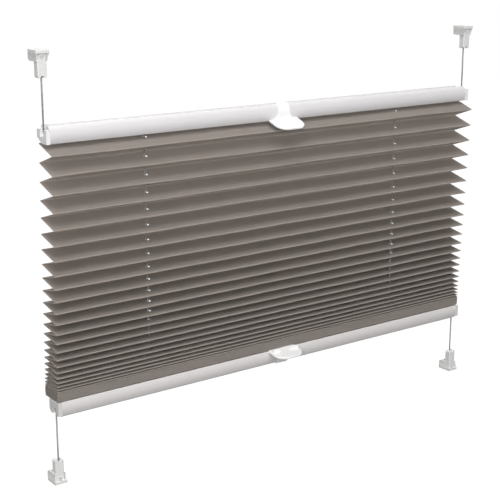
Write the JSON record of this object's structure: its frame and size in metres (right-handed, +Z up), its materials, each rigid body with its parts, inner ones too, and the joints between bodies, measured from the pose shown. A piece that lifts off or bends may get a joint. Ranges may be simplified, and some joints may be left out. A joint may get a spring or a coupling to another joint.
{
  "type": "pleated blind",
  "caption": "Pleated window blind whose folded fabric hangs between two rails that slide on crossed guide cords held by screwed tension shoes.",
  "frame": {"origin": "midway between the screw holes of the two upper brackets, on their mounting face", "axes": "+X along the rails, +Y to the back of the blind, +Z up out of the upper mounting face"},
  "size_m": [0.408, 0.0317, 0.3104],
  "materials": {
    "rail": "white powder coat, satin",
    "cap": "moulded, satin",
    "handle": "moulded, semi-gloss",
    "fabric": "plain pleated weave, matt",
    "strip": "extruded, plain",
    "cord": "braided polyester, taut",
    "guide": "moulded, smooth",
    "shoe": "moulded, slightly translucent",
    "bracket": "moulded, slightly translucent",
    "screw": "zinc plated"
  },
  "bodies": {
    "fixings": {"top_left_bracket": "bracket", "top_right_bracket": "bracket", "bottom_left_bracket": "bracket", "bottom_right_bracket": "bracket", "top_left_shoe": "shoe", "top_right_shoe": "shoe", "bottom_left_shoe": "shoe", "bottom_right_shoe": "shoe", "clamp_screws": "screw", "left_cord": "cord", "right_cord": "cord", "pleated_fabric": "fabric"},
    "upper_rail": {"top_rail": "rail", "top_left_cap": "cap", "top_right_cap": "cap", "top_handle": "handle", "top_strip": "strip", "top_left_guide": "guide", "top_right_guide": "guide"},
    "lower_rail": {"bottom_rail": "rail", "bottom_left_cap": "cap", "bottom_right_cap": "cap", "bottom_handle": "handle", "bottom_strip": "strip", "bottom_left_guide": "guide", "bottom_right_guide": "guide"}
  },
  "joints": [
    {"name": "upper_rail_slide", "type": "slide", "parent": "fixings", "child": "upper_rail", "axis": [0, 0, 1], "range_m": [-0.055, 0.03], "deforming": ["pleated_fabric", "left_cord", "right_cord"]},
    {"name": "lower_rail_slide", "type": "slide", "parent": "fixings", "child": "lower_rail", "axis": [0, 0, 1], "range_m": [-0.03, 0.055], "deforming": ["pleated_fabric", "left_cord", "right_cord"]}
  ]
}
